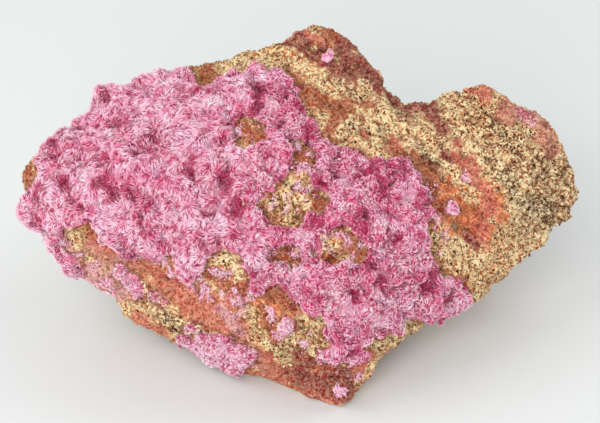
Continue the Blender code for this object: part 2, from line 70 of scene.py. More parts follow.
# Each stain runs from one place on the front to another: mm to the right and up, then its radius.
STAINS = {
    "pale": (
        # The first streak on the next line is pale cream on the ridge's nodules, painted also as their
        # highlight.
        ((19.2, 17.6), (22.2, 16.9), 1.2), ((21.0, 5.9), (24.9, 5.0), 1.5),
        ((30.3, -0.1), (35.2, -1.6), 1.5), ((5.2, 21.2), (15.0, 13.7), 1.8),
        ((6.8, 12.2), (19.5, 9.2), 1.8), ((-11.7, 21.8), (-5.7, 22.1), 1.2),
        ((15.6, 14.0), (18.6, 14.9), 0.9), ((-35.1, -3.1), (-32.1, -5.2), 1.2),
        ((-31.2, -7.9), (-28.8, -9.1), 1.2), ((-27.9, -11.2), (-21.3, -15.7), 1.3),
        ((-12.3, -6.1), (-9.0, -8.5), 1.3), ((-1.0, -16.4), (2.6, -19.0), 0.8),
        ((2.6, -17.0), (5.1, -19.0), 1.0), ((7.8, -21.1), (10.8, -20.0), 1.1),
        ((12.0, -19.0), (18.8, -16.0), 1.1), ((4.5, -4.9), (6.0, -6.1), 0.9),
        ((21.8, -3.5), (26.2, -7.6), 1.5), ((20.5, 13.0), (31.5, 5.0), 1.7),
        ((-41.2, 4.0), (-40.5, 1.7), 0.8),
    ),
    "olive": (
        ((-8.7, -13.6), (-5.7, -16.6), 1.8), ((-5.7, -16.6), (0.0, -21.5), 1.6),
        ((-3.3, 1.0), (0.0, -0.1), 1.2), ((-3.0, -20.5), (1.0, -24.0), 1.3),
        ((-0.5, -16.6), (3.4, -19.8), 0.7),
    ),
    "grey": (
        ((37.2, 7.7), (39.0, 1.7), 3.3), ((37.5, 0.2), (35.2, -4.0), 2.4),
    ),
    "umber": (
        ((0.9, 27.3), (7.6, 25.6), 1.2), ((23.6, 17.0), (30.0, 17.0), 1.0),
        ((25.5, 16.4), (33.0, 12.2), 1.9), ((29.2, 11.5), (36.0, 7.0), 1.8),
        # Of the umber streaks, the first on the next line is painted shadow under the side band.
        ((-27.6, -10.2), (-21.0, -14.7), 0.8), ((-11.1, -4.3), (-8.4, -6.7), 0.9),
        ((25.5, 13.7), (28.4, 11.5), 1.1), ((32.1, 9.7), (34.1, 8.0), 0.9),
    ),
    "orange": (
        ((21.0, 2.3), (25.5, -2.0), 2.4), ((25.2, -0.5), (27.6, -3.0), 1.4),
        ((29.2, 2.0), (30.2, -1.0), 1.0), ((-8.6, -24.4), (-6.0, -25.4), 0.9),
        ((-15.6, -20.5), (-13.2, -21.1), 0.9), ((-5.6, -12.2), (-2.0, -14.4), 1.4),
        ((-8.5, -11.5), (-6.5, -13.0), 0.9),
    ),
    "rust": (
        ((-2.2, 19.7), (2.7, 17.0), 1.3), ((2.7, 17.0), (6.8, 14.9), 1.3), ((6.0, 14.9), (4.5, 12.5), 0.9),
        ((7.5, 16.4), (11.1, 16.1), 0.6), ((-14.2, 22.1), (-13.2, 18.2), 1.3),
        ((14.2, 8.9), (19.5, 6.5), 1.1), ((19.5, 6.5), (20.6, 1.0), 1.2),
        ((-18.0, 22.4), (-14.4, 22.4), 0.9), ((4.5, 27.2), (7.8, 25.0), 1.3),
        ((-31.5, -2.8), (-29.4, -5.2), 1.1), ((-5.1, -11.8), (-1.5, -13.6), 1.3),
        ((2.7, -22.6), (7.8, -24.1), 1.1), ((-5.7, 0.2), (-3.8, -1.6), 0.9), ((0.0, 9.2), (1.5, 7.0), 1.1),
        ((-9.6, 12.5), (-5.7, 10.7), 1.2), ((6.0, -2.8), (9.3, -6.7), 1.2),
        ((-4.2, -5.8), (-0.6, -7.6), 1.1), ((-41.7, 7.7), (-40.5, 4.7), 0.9),
        ((-13.0, -9.6), (-8.2, -12.4), 1.4), ((2.4, 2.2), (3.6, 0.2), 0.8), ((4.3, -7.0), (5.2, -7.8), 0.7),
        ((-6.4, 10.4), (-4.8, 12.4), 0.9), ((5.5, -25.5), (8.4, -22.6), 1.2),
        ((-11.5, -10.2), (-8.0, -12.6), 1.1), ((-5.4, -14.4), (-4.0, -19.0), 0.8),
    ),
    "red": (
        ((25.2, 7.4), (27.2, 4.0), 0.9), ((27.2, 4.0), (28.4, 1.4), 1.1), ((28.4, 1.4), (26.9, -4.3), 1.0),
        ((9.9, 11.9), (10.0, 11.6), 0.6), ((13.9, 10.7), (14.5, 10.1), 0.8),
        ((23.6, 10.4), (23.8, 9.8), 0.6), ((23.1, 8.3), (24.9, 6.5), 0.6),
        ((25.6, 18.8), (27.2, 17.4), 1.0), ((-28.0, -5.3), (-22.5, -7.8), 2.2),
        ((-22.5, -7.8), (-18.5, -11.5), 2.3), ((-17.1, -13.3), (-13.2, -16.0), 1.9),
        ((-13.2, -16.0), (-9.3, -18.7), 1.8), ((-24.3, -16.0), (-21.0, -18.4), 1.0),
        ((-10.0, -18.6), (-3.6, -24.0), 1.0), ((-4.0, -24.2), (5.0, -28.4), 1.3),
        ((0.0, -24.1), (6.8, -27.1), 1.3), ((-14.6, -12.6), (-9.8, -17.2), 2.2),
        ((-19.5, -12.0), (-14.5, -14.6), 1.6), ((7.0, -25.4), (9.8, -21.8), 1.1),
        ((-30.2, -4.6), (-25.8, -7.4), 1.2), ((0.5, 26.6), (3.6, 25.2), 0.7),
    ),
    "maroon": (
        ((8.6, 22.8), (12.8, 19.7), 1.5), ((12.8, 19.7), (16.1, 16.3), 1.8),
        ((16.1, 16.3), (19.5, 16.3), 1.2), ((18.8, 14.9), (21.6, 12.2), 0.8),
        ((-2.0, 26.2), (0.8, 25.0), 1.1), ((2.7, 23.5), (6.0, 21.2), 1.3), ((6.8, 24.5), (7.8, 20.5), 1.2),
        ((2.4, -24.4), (7.6, -26.2), 0.7), ((0.0, -23.8), (6.4, -26.8), 1.9),
        ((24.8, -3.4), (26.4, -5.3), 0.7), ((21.5, 8.6), (22.6, 7.6), 0.5),
        ((3.0, -22.0), (7.5, -24.6), 0.6),
    ),
    "pink": (
        ((30.8, 15.2), (36.0, 13.7), 1.3), ((36.0, 13.7), (37.8, 9.5), 1.3),
        ((-31.8, -5.6), (-28.0, -8.0), 1.0), ((-30.0, -10.2), (-26.0, -12.6), 1.0),
        ((-38.1, -5.8), (-32.4, -9.7), 1.5), ((-31.8, -10.6), (-28.5, -11.8), 0.9),
        ((-9.5, -19.2), (-5.5, -23.4), 0.8),
    ),
    "dust": (
        ((-37.5, -4.0), (-33.5, -8.5), 1.5), ((-33.0, -8.5), (-27.5, -12.0), 1.2),
        ((-27.5, -8.0), (-25.0, -9.5), 0.7), ((-12.0, -14.5), (-8.5, -18.5), 0.6),
    ),
    "magenta": (
        ((33.3, 15.2), (34.2, 14.6), 0.8),
    ),
    # Pits on the front, painted dark as their shade.
    "pit": (
        ((34.2, 1.0), (37.2, -0.1), 1.3), ((31.2, 5.9), (32.1, 3.5), 0.9),
        ((-19.8, -16.3), (-18.0, -17.8), 0.9), ((-2.3, 4.3), (-1.0, 3.7), 0.6),
        ((28.7, 13.1), (30.5, 11.8), 0.6), ((35.6, 0.1), (38.2, -2.0), 0.9),
        ((18.8, 8.6), (20.6, 7.5), 0.5), ((23.0, -2.0), (23.6, -2.7), 0.4),
    ),
}
# The colour of each stain as it looks, and how much of the sand it covers.
SAND, OCHRE, ROOT_AND_SHADE = (1.00, 0.84, 0.62), (1.00, 0.71, 0.44), (0.52, 0.12, 0.27)
ORE_PAINTS = {
    "pale": ((1.00, 0.90, 0.71), 0.95),
    "olive": ((0.66, 0.46, 0.25), 0.90),
    "grey": ((0.96, 0.80, 0.60), 0.85),
    "umber": ((0.76, 0.52, 0.31), 0.72),
    "orange": ((0.95, 0.50, 0.30), 0.90),
    "rust": ((0.70, 0.27, 0.14), 0.92),
    "red": ((0.85, 0.43, 0.38), 0.92),
    "maroon": ((0.61, 0.17, 0.21), 0.97),
    "pink": ((0.86, 0.54, 0.52), 0.75),
    "dust": ((0.90, 0.66, 0.71), 0.85),
    "magenta": ((0.84, 0.36, 0.56), 0.70),
    # Painted shade in pits.
    "pit": ((0.24, 0.16, 0.11), 0.75),
}
# How much each stain hides the pale grains and the dark specks under it.
HIDING = {"olive": 0.4, "orange": 1, "rust": 1, "red": 1, "maroon": 1, "pink": 1, "dust": 1}
# What the back and the sides carry: size of the patches in mm, and the noise above which they show.
BACK_PATCHES = {
    "pale": (7.0, 0.10), "umber": (8.0, 0.14), "grey": (11.0, 0.22), "orange": (7.5, 0.22),
    "rust": (9.0, 0.15), "red": (10.0, 0.30), "maroon": (13.0, 0.27), "pink": (12.0, 0.36),
    # Dark spots of painted pit shade.
    "pit": (3.0, 0.42),
}
# The rust along the crusts' rims: its reach and its waver in mm, how much it covers, its colours.
RIM_RUST_FROM, RIM_RUST_WAVER, RIM_RUST_COVERS = (1.7, 0.5), 0.9, 0.9
RIM_RUST_BROWN, RIM_RUST_RED = (0.66, 0.31, 0.18), (0.58, 0.20, 0.22)


def linear(colour):
    """A colour as it looks, as the light that it stands for."""
    return np.array([c / 12.92 if c <= 0.04045 else ((c + 0.055) / 1.055) ** 2.4 for c in colour])


def step(low, high, values):
    """0 below low, 1 above high, and smooth between them."""
    share = np.clip((values - low) / (high - low), 0, 1)
    return share * share * (3 - 2 * share)


def squares_of(mesh):
    corners = np.empty(len(mesh.loops), np.int32)
    mesh.loops.foreach_get("vertex_index", corners)
    return corners.reshape(-1, 4)


def points_of(mesh):
    """A mesh's points in mm."""
    points = np.empty(len(mesh.vertices) * 3, np.float32)
    mesh.vertices.foreach_get("co", points)
    return points.reshape(-1, 3).astype(float) * 1000


def place(mesh, points):
    mesh.vertices.foreach_set("co", (points / 1000).astype(np.float32).ravel())
    mesh.update()


def even_mesh(node, spacing):
    """The solid's shape as one closed mesh of even squares, spacing mm apart."""
    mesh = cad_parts[node].data.copy()
    sewing = bmesh.new()
    sewing.from_mesh(mesh)
    bmesh.ops.remove_doubles(sewing, verts=sewing.verts, dist=1e-6)
    sewing.to_mesh(mesh)
    sewing.free()
    maker = bpy.data.objects.new("maker", mesh)
    scene.collection.objects.link(maker)
    squares = maker.modifiers.new("squares", "REMESH")
    squares.mode, squares.voxel_size = "VOXEL", spacing / 1000
    made = maker.evaluated_get(bpy.context.evaluated_depsgraph_get())
    result = bpy.data.meshes.new_from_object(made)
    bpy.data.objects.remove(maker)
    for name in [a.name for a in result.attributes if not a.is_required and not a.is_internal]:
        result.attributes.remove(result.attributes[name])
    result.materials.clear()
    return result


def relaxed(squares, points, times):
    """The points after each has moved, so many times, half way to the middle of its neighbours."""
    ends = np.concatenate([squares[:, [i, (i + 1) % 4]] for i in range(4)])
    ends = np.concatenate([ends, ends[:, ::-1]])
    count = np.bincount(ends[:, 0], minlength=len(points))[:, None]
    for _ in range(times):
        sums = [np.bincount(ends[:, 0], points[ends[:, 1], k], len(points)) for k in range(3)]
        points = (points + np.stack(sums, 1) / count) / 2
    return points


def unit(values):
    return values / np.maximum(np.linalg.norm(values, axis=1, keepdims=True), 1e-9)


def outward(squares, points):
    """Which way the surface faces at each point."""
    a, b, c, d = (points[squares[:, i]] for i in range(4))
    facing = np.cross(c - a, d - b)
    sums = [
        sum(np.bincount(squares[:, i], facing[:, k], len(points)) for i in range(4)) for k in range(3)
    ]
    return unit(np.stack(sums, 1))


def bumps(points, size, seed):
    """Noise from about -1 to 1 with bumps size mm across."""
    moved = points / size + (seed * 17.31, seed * 5.17, seed * 9.73)
    return np.array([noise.noise(p) for p in moved.tolist()])


def bumpy_ways(points, size, seed, count=3):
    """Noise as above in each of count directions."""
    return np.stack([bumps(points, size, seed + k) for k in range(count)], 1)


def packed_grains(points, size, seed):
    """1 in the middle of each grain, 0 between grains, size mm across."""
    moved = points / size + (seed * 7.7, seed * 3.1, seed * 1.9)
    return 1 - np.clip(np.array([noise.voronoi(p)[0][0] for p in moved.tolist()]) / 0.75, 0, 1)


def on_front(points):
    """Where each point lies on the front: mm to the right and up."""
    reach = points - FRONT_CENTRE
    spread = 1 - reach @ TO_EYE / EYE_DISTANCE
    return np.stack([reach[:, 0] / spread, reach @ UP_FRONT / spread], 1)


def from_line(places, start, end):
    """How far each place is from a line's nearest point."""
    start, run = np.array(start), np.array(end) - np.array(start)
    share = np.clip((places - start) @ run / max(run @ run, 1e-9), 0, 1)
    return np.linalg.norm(places - start - share[:, None] * run, axis=1)


def level_with(ways, facing):
    """The part of each way that runs along the surface."""
    return unit(ways - facing * (ways * facing).sum(1, keepdims=True))


def tree_of(mesh, points):
    return BVHTree.FromPolygons(points.tolist(), squares_of(mesh).tolist())


def keep_values(mesh, name, values):
    mesh.attributes.new(name, "FLOAT", "POINT").data.foreach_set("value", values.astype(np.float32))


def keep_vectors(mesh, name, values):
    flat = values.astype(np.float32).ravel()
    mesh.attributes.new(name, "FLOAT_VECTOR", "POINT").data.foreach_set("vector", flat)


def keep_colours(mesh, name, colours):
    solid = np.concatenate([colours, np.ones((len(colours), 1))], 1).astype(np.float32)
    mesh.attributes.new(name, "FLOAT_COLOR", "POINT").data.foreach_set("color", solid.ravel())


def piece_of(name, mesh, material, slot, *replaced):
    """A finished piece on the specimen's one body."""
    piece = bpy.data.objects.new(name, mesh)
    scene.collection.objects.link(piece)
    if material.name not in mesh.materials:
        mesh.materials.clear()
        mesh.materials.append(material)
    mesh.shade_smooth()
    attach(piece, "root")
    if replaced:
        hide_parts(*replaced)
    return piece


ore_mesh = even_mesh("ore_matrix", ORE_SPACING)
ore_squares = squares_of(ore_mesh)
ore_points = relaxed(ore_squares, points_of(ore_mesh), ORE_SMOOTHING)
ore_facing = outward(ore_squares, ore_points)

crust_nodes = sorted(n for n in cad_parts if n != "ore_matrix")
crust_meshes = {n: even_mesh(n, CRUST_SPACING) for n in crust_nodes}
crust_trees = [tree_of(m, points_of(m)) for m in crust_meshes.values()]


def under_crust(point, facing):
    start = Vector(point) - Vector(facing) * RAY_START
    return any(t.ray_cast(start, Vector(facing), RAY_LENGTH)[0] is not None for t in crust_trees)


def from_crust(point):
    hits = (t.find_nearest(point, CRUST_NEAR) for t in crust_trees)
    return min(h[3] if h[3] is not None else CRUST_FAR for h in hits)


covered = np.array([under_crust(p, f) for p, f in zip(ore_points.tolist(), ore_facing.tolist())], float)
seen_front = step(-0.05, 0.22, ore_facing @ TO_EYE)
ore_front = on_front(ore_points)
coarse_end = step(*COARSE_FROM[0], ore_front[:, 0]) * step(*COARSE_FROM[1], ore_front[:, 1])

relief = sum(high * bumps(ore_points, size, 1 + i) for i, (size, high) in enumerate(ORE_LUMPS))
grains = packed_grains(ore_points, GRAIN_ACROSS, 4)
relief += GRAIN_HIGH * (grains - 0.45) * (1 + 0.6 * coarse_end)
pits = step(0.22, 0.45, bumps(ore_points, PIT_ACROSS, 5)) * PIT_DEEP
relief -= pits * (0.7 + 0.5 * coarse_end)
knobs = packed_grains(ore_points, KNOB_ACROSS, 9) + 0.25 * bumps(ore_points, 0.8, 10)
relief += coarse_end * (KNOB_HIGH * knobs - KNOB_HIGH / 2)
cavity_shade = coarse_end * step(0.36, 0.14, knobs)
across = ore_front @ ACROSS_LAYERS
layers = np.sin(across * 2 * math.pi / LAYER_SPACING + LAYER_WAVER * bumps(ore_points, 6.0, 6))
relief += LAYER_RELIEF * layers * step(*LAYERS_FROM, ore_front[:, 0]) * seen_front
relief *= step(*FLAT_BREAK, ore_points[:, 2]) * (1 - 0.75 * covered)
relief = np.where(covered > 0, np.minimum(relief, UNDER_CRUST), relief)
ore_points = ore_points + ore_facing * relief[:, None]
ore_points[:, 2] = np.maximum(ore_points[:, 2], 0)
place(ore_mesh, ore_points)

breakup = 0.34 * bumps(ore_points, 2.2, 11) + 0.32 * bumps(ore_points, 0.85, 12)
breakup += 0.20 * bumps(ore_points, 0.5, 14)


def stain_strength(paint, number):
    """How much one paint covers each of the lump's points, on the front and behind."""
    front, back = np.zeros(len(ore_points)), np.zeros(len(ore_points))
    for start, end, radius in STAINS[paint]:
        front = np.maximum(front, 1 - from_line(ore_front, start, end) / (2.3 * radius))
    if paint in BACK_PATCHES:
        size, above = BACK_PATCHES[paint]
        back = step(above - 0.06, above + 0.20, bumps(ore_points, size, 20 + number))
    front = step(0.30, 0.66, front + breakup) * step(0.0, 0.15, front)
    back = 0.7 * step(0.10, 1.00, back + 0.8 * breakup) * step(0.0, 0.15, back)
    return front * seen_front + back * (1 - seen_front)


warm = step(-0.35, 0.60, bumps(ore_points, 5.0, 13) + 0.7 * breakup)[:, None]
ore_colour = (1 - warm) * linear(SAND) + warm * linear(OCHRE)
stained = np.zeros(len(ore_points))
for number, (paint, (shown, most)) in enumerate(ORE_PAINTS.items()):
    strength = most * stain_strength(paint, number)
    ore_colour = ore_colour + strength[:, None] * (linear(shown) - ore_colour)
    stained = np.maximum(stained, HIDING.get(paint, 0) * strength)

edge = np.array([from_crust(p) for p in ore_points.tolist()]) - RIM_RUST_WAVER * bumps(ore_points, 1.4, 15)
rusty = RIM_RUST_COVERS * step(*RIM_RUST_FROM, edge) * seen_front * (1 - covered)
redder = step(-0.2, 0.2, bumps(ore_points, 2.6, 16))[:, None]
rim_rust = (1 - redder) * linear(RIM_RUST_BROWN) + redder * linear(RIM_RUST_RED)
ore_colour = ore_colour + rusty[:, None] * (rim_rust - ore_colour)
stained = np.maximum(stained, rusty)
# Where a crust covers it, the ore takes the crystals' dark magenta: the colour of their roots, and painted
# shade under the crust.
ore_colour = ore_colour + 0.85 * covered[:, None] * (linear(ROOT_AND_SHADE) - ore_colour)

keep_colours(ore_mesh, "stain", ore_colour)
# Painted shade: how far each point lies in a hollow or between the coarse end's knobs, read by the finish
# to darken the ore there.
keep_values(ore_mesh, "hollow_shade", np.clip(-relief / (0.75 + 0.6 * coarse_end) + 0.15 * cavity_shade, 0, 1))
keep_values(ore_mesh, "stained", stained)
keep_values(ore_mesh, "coarse", coarse_end)
keep_values(ore_mesh, "tone", np.full(len(ore_points), 0.5))
bare = (1 - covered) * step(0.5, 1.5, ore_points[:, 2])
facing_eye = step(-0.1, 0.1, ore_facing @ TO_EYE)
keep_values(ore_mesh, "bare_front", bare * facing_eye)
keep_values(ore_mesh, "bare_back", bare * (1 - facing_eye))


def put(tree, kind, sockets=None, **settings):
    """Adds a node, sets it, and links or sets its sockets by name or number."""
    node = tree.nodes.new(kind)
    for name, value in settings.items():
        setattr(node, name, value)
    for key, value in (sockets or {}).items():
        socket = node.inputs[key] if isinstance(key, int) else next(
            s for s in node.inputs if s.name == key and s.enabled
        )
        if isinstance(value, bpy.types.NodeSocket):
            tree.links.new(value, socket)
        else:
            socket.default_value = value
    return node


def out(node, name=None):
    return next(s for s in node.outputs if s.enabled and name in (None, s.name))


def maths(tree, operation, a, b=0.0, c=0.0):
    return out(put(tree, "ShaderNodeMath", {0: a, 1: b, 2: c}, operation=operation))


def product(tree, *values):
    result = values[0]
    for value in values[1:]:
        result = maths(tree, "MULTIPLY", result, value)
    return result


def vectors(tree, operation, a, b=(0, 0, 0)):
    return out(put(tree, "ShaderNodeVectorMath", {0: a, 1: b}, operation=operation))


def scaled(tree, vector, size):
    return out(put(tree, "ShaderNodeVectorMath", {0: vector, "Scale": size}, operation="SCALE"))


def between(tree, value, low, high, to_low=0.0, to_high=1.0):
    sockets = {"Value": value, "From Min": low, "From Max": high, "To Min": to_low, "To Max": to_high}
    return out(put(tree, "ShaderNodeMapRange", sockets, interpolation_type="SMOOTHSTEP"))


def mixed(tree, share, first, second, blend="MIX"):
    """Two colours mixed, each given as it looks or as a socket."""
    node = put(tree, "ShaderNodeMix", data_type="RGBA", blend_type=blend)
    for key, value in ((0, share), (6, first), (7, second)):
        if isinstance(value, bpy.types.NodeSocket):
            tree.links.new(value, node.inputs[key])
        elif key == 0:
            node.inputs[key].default_value = value
        else:
            node.inputs[key].default_value = (*linear(value), 1)
    return node.outputs[2]


def kept(tree, name, kind="Fac"):
    return out(put(tree, "ShaderNodeAttribute", attribute_name=name), kind)


def in_mm(tree):
    """Object coordinates in mm."""
    return scaled(tree, out(put(tree, "ShaderNodeTexCoord"), "Object"), 1000)


def cloud(tree, where, scale, detail=2.0, kind="Fac"):
    """Noise with about scale bumps to the mm."""
    sockets = {"Vector": where, "Scale": scale, "Detail": detail}
    return out(put(tree, "ShaderNodeTexNoise", sockets), kind)


def cells(tree, where, scale):
    """About scale cells to the mm: how far from a cell's middle, and a chance colour for each."""
    node = put(tree, "ShaderNodeTexVoronoi", {"Vector": where, "Scale": scale})
    return out(node, "Distance"), out(node, "Color")


def channel(tree, colour, name):
    return out(put(tree, "ShaderNodeSeparateColor", {"Color": colour}), name)


def finish_of(name):
    material = bpy.data.materials.new(name)
    material.use_nodes = True
    tree = material.node_tree
    return material, tree, next(n for n in tree.nodes if n.type == "BSDF_PRINCIPLED")


def ore_finish():
    """Stained sand: pale and dark grains, grit and blotches, dark specks, painted glints, painted shade in
    the hollows, and knobs at the coarse end with painted light on their tops and painted shade round them.
    """
    material, tree, surface = finish_of("weathered_ore")
    mm = in_mm(tree)
    swirl = vectors(tree, "SUBTRACT", cloud(tree, mm, 2.2, 2.0, "Color"), (0.5, 0.5, 0.5))
    swirled = vectors(tree, "ADD", mm, vectors(tree, "MULTIPLY", swirl, (0.9, 0.9, 0.9)))
    from_grain, grain_colour = cells(tree, swirled, 2.9)
    from_knob, _ = cells(tree, swirled, 1.2)
    from_speck, speck_colour = cells(tree, swirled, 2.7)
    grain_tone, speck_tone = channel(tree, grain_colour, "Red"), channel(tree, speck_colour, "Green")
    coarse, tone = kept(tree, "coarse"), kept(tree, "tone")

    # Stains hide dark marks a little, and pale ones more. Marks are fainter at the coarse end.
    dark_shows = between(tree, kept(tree, "stained"), 0.1, 0.7, 1.0, 0.55)
    pale_shows = between(tree, kept(tree, "stained"), 0.1, 0.7, 1.0, 0.22)
    marks = maths(tree, "MULTIPLY_ADD", coarse, -0.10, 0.35)
    chosen_below = between(tree, cloud(tree, mm, 0.30), 0.38, 0.62, 0.85, 0.63)
    on_speck = product(
        tree, maths(tree, "GREATER_THAN", speck_tone, chosen_below), between(tree, from_speck, 0.58, 0.50),
        between(tree, dark_shows, 0.55, 1.0, 0.30, 1.0), between(tree, coarse, 0.0, 1.0, 1.0, 0.30),
    )
    pale_grain = between(tree, grain_tone, 0.42, 0.54)
    dark_grain = between(tree, grain_tone, 0.30, 0.20, 0.0, 0.90)
    grit = between(tree, cloud(tree, mm, 2.3, 3.0), 0.40, 0.36, 0.0, 0.6)
    blotch = between(tree, cloud(tree, mm, 1.15, 3.0), 0.45, 0.36)
    # Painted glints: pale spots mixed into the ore's colour where light would catch its grains.
    painted_glint = between(tree, cloud(tree, mm, 1.6, 3.0), 0.54, 0.64)
    # Painted shade round the coarse end's knobs, and painted light on their tops.
    knob_rim_shade = between(tree, from_knob, 0.50, 0.70, 0.0, 0.80)
    knob_top_light = between(tree, from_knob, 0.42, 0.16, 0.0, 0.90)
    dark_stone = between(tree, tone, 0.42, 0.0, 0.0, 0.95)
    pale_stone = between(tree, tone, 0.5, 1.0, 0.0, 0.75)
    layers = (
        (product(tree, pale_grain, pale_shows), (1, 0.92, 0.72), "MIX"),
        (product(tree, dark_grain, dark_shows), (0.80, 0.48, 0.28), "MULTIPLY"),
        (product(tree, grit, dark_shows), (0.74, 0.36, 0.18), "MULTIPLY"),
        (product(tree, blotch, marks, dark_shows), (0.70, 0.42, 0.22), "MULTIPLY"),
        (product(tree, painted_glint, marks, pale_shows), (1, 0.92, 0.74), "MIX"),
        (product(tree, knob_rim_shade, coarse), (0.46, 0.28, 0.13), "MULTIPLY"),
        (product(tree, knob_top_light, coarse, pale_shows), (1, 0.92, 0.78), "MIX"),
        (on_speck, (0.25, 0.09, 0.02), "MIX"),
        # Painted shade in the hollows.
        (between(tree, kept(tree, "hollow_shade"), 0.25, 1.0, 0.0, 0.70), (0.64, 0.36, 0.19), "MULTIPLY"),
        (product(tree, dark_stone, dark_shows), (0.62, 0.29, 0.13), "MULTIPLY"),
        (product(tree, pale_stone, pale_shows), (1, 0.92, 0.73), "MIX"),
    )
    colour = kept(tree, "stain", "Color")
    for share, tint, blend in layers:
        colour = mixed(tree, share, colour, tint, blend)
    tree.links.new(colour, surface.inputs["Base Color"])
    tree.links.new(between(tree, grain_tone, 0, 1, 0.95, 0.72), surface.inputs["Roughness"])
    surface.inputs["Specular IOR Level"].default_value = 0.3
    height = maths(tree, "MULTIPLY_ADD", from_grain, -0.8, cloud(tree, mm, 3.2, 4.0))
    bumpy = put(tree, "ShaderNodeBump", {"Height": height, "Strength": 1.0, "Distance": 0.0004})
    tree.links.new(out(bumpy), surface.inputs["Normal"])
    return material


ore = ore_finish()
piece_of("ore_lump", ore_mesh, ore, "weathered_ore", "ore_matrix")

# Loose-looking grains of quartz and rust stand out of the lump's surface. They are angular,
# about half a millimetre across, and grown fast to it.
GRAINS = {  # where they stand, how many on 1 mm2, half their size in mm, and the seed of their chance
    "ore_grains_front": ("bare_front", 5.6, 0.24, 7),
    "ore_grains_back": ("bare_back", 1.7, 0.32, 8),
}
FULL_TURN = 6.28


def new_tree(name, inputs):
    tree = bpy.data.node_groups.new(name, "GeometryNodeTree")
    for label, kind in (("Surface", "Geometry"), *inputs):
        tree.interface.new_socket(label, in_out="INPUT", socket_type=f"NodeSocket{kind}")
    tree.interface.new_socket("Grown", in_out="OUTPUT", socket_type="NodeSocketGeometry")
    given = tree.nodes.new("NodeGroupInput")
    return tree, {s.name: s for s in given.outputs}, tree.nodes.new("NodeGroupOutput").inputs[0]


def random_value(tree, kind, low, high, seed):
    sockets = {"Min": low, "Max": high, "Seed": seed}
    return out(put(tree, "FunctionNodeRandomValue", sockets, data_type=kind))


def read(tree, name, kind="FLOAT"):
    return out(put(tree, "GeometryNodeInputNamedAttribute", {"Name": name}, data_type=kind), "Attribute")


def stored(tree, geometry, name, value):
    sockets = {"Geometry": geometry, "Name": name, "Value": value}
    return out(put(tree, "GeometryNodeStoreNamedAttribute", sockets, data_type="FLOAT", domain="POINT"))


def scattered(tree, given):
    """Points on the surface, as many as the value that Where names asks for."""
    density = product(tree, read(tree, given["Where"]), given["Per Square Metre"])
    sockets = {"Mesh": given["Surface"], "Density": density, "Seed": given["Seed"]}
    return put(tree, "GeometryNodeDistributePointsOnFaces", sockets)


def instanced(tree, points, shape, rotation, scale, finish):
    """The shape at each point, as one plain mesh with its finish."""
    info = put(tree, "GeometryNodeObjectInfo", {"Object": shape}, transform_space="ORIGINAL")
    instances = put(tree, "GeometryNodeInstanceOnPoints", {
        "Points": points, "Instance": out(info, "Geometry"), "Rotation": rotation, "Scale": scale})
    whole = put(tree, "GeometryNodeRealizeInstances", {"Geometry": out(instances)})
    return out(put(tree, "GeometryNodeSetMaterial", {"Geometry": out(whole), "Material": finish}))


def grown(name, mesh, tree, inputs):
    """What the tree grows on a surface, as a plain mesh."""
    maker = bpy.data.objects.new(name, mesh)
    scene.collection.objects.link(maker)
    growing = maker.modifiers.new("growing", "NODES")
    growing.node_group = tree
    for item in tree.interface.items_tree:
        if item.item_type == "SOCKET" and item.in_out == "INPUT" and item.name in inputs:
            growing[item.identifier] = inputs[item.name]
    made = maker.evaluated_get(bpy.context.evaluated_depsgraph_get())
    result = bpy.data.meshes.new_from_object(made)
    bpy.data.objects.remove(maker)
    return result


def standing_grains():
    tree, given, result = new_tree("standing_grains", (
        ("Grain", "Object"), ("Where", "String"), ("Per Square Metre", "Float"), ("Size", "Float"),
        ("Paleness", "Float"), ("Seed", "Int"), ("Finish", "Material"),
    ))
    points = out(scattered(tree, given), "Points")
    points = stored(tree, points, "tone", random_value(tree, "FLOAT", 0.0, 1.0, 3))
    points = stored(tree, points, "blush", given["Paleness"])
    sides = random_value(tree, "FLOAT_VECTOR", (0.5, 0.5, 0.5), (1.3, 1.3, 1.3), 1)
    turned = random_value(tree, "FLOAT_VECTOR", (0, 0, 0), (FULL_TURN, FULL_TURN, FULL_TURN), 2)
    scale = scaled(tree, sides, given["Size"])
    tree.links.new(instanced(tree, points, given["Grain"], turned, scale, given["Finish"]), result)
    return tree


grain_mesh = bpy.data.meshes.new("grain")
grain_mesh.from_pydata(
    [(1, 0.1, 0), (-0.1, 1, 0.1), (-1, 0, -0.1), (0.1, -1, 0), (0, 0.1, 0.9), (0.1, 0, -0.8)], [],
    [(0, 1, 4), (1, 2, 4), (2, 3, 4), (3, 0, 4), (1, 0, 5), (2, 1, 5), (3, 2, 5), (0, 3, 5)],
)
grain = bpy.data.objects.new("grain", grain_mesh)
grain_tree = standing_grains()

for name, (where, per_mm2, size, seed) in GRAINS.items():
    mesh = grown(name, ore_mesh, grain_tree, {
        "Grain": grain, "Where": where, "Per Square Metre": per_mm2 * 1e6, "Size": size / 1000,
        "Paleness": 0.5, "Seed": seed, "Finish": ore,
    })
    piece_of(name, mesh, ore, "weathered_ore").data.shade_flat()

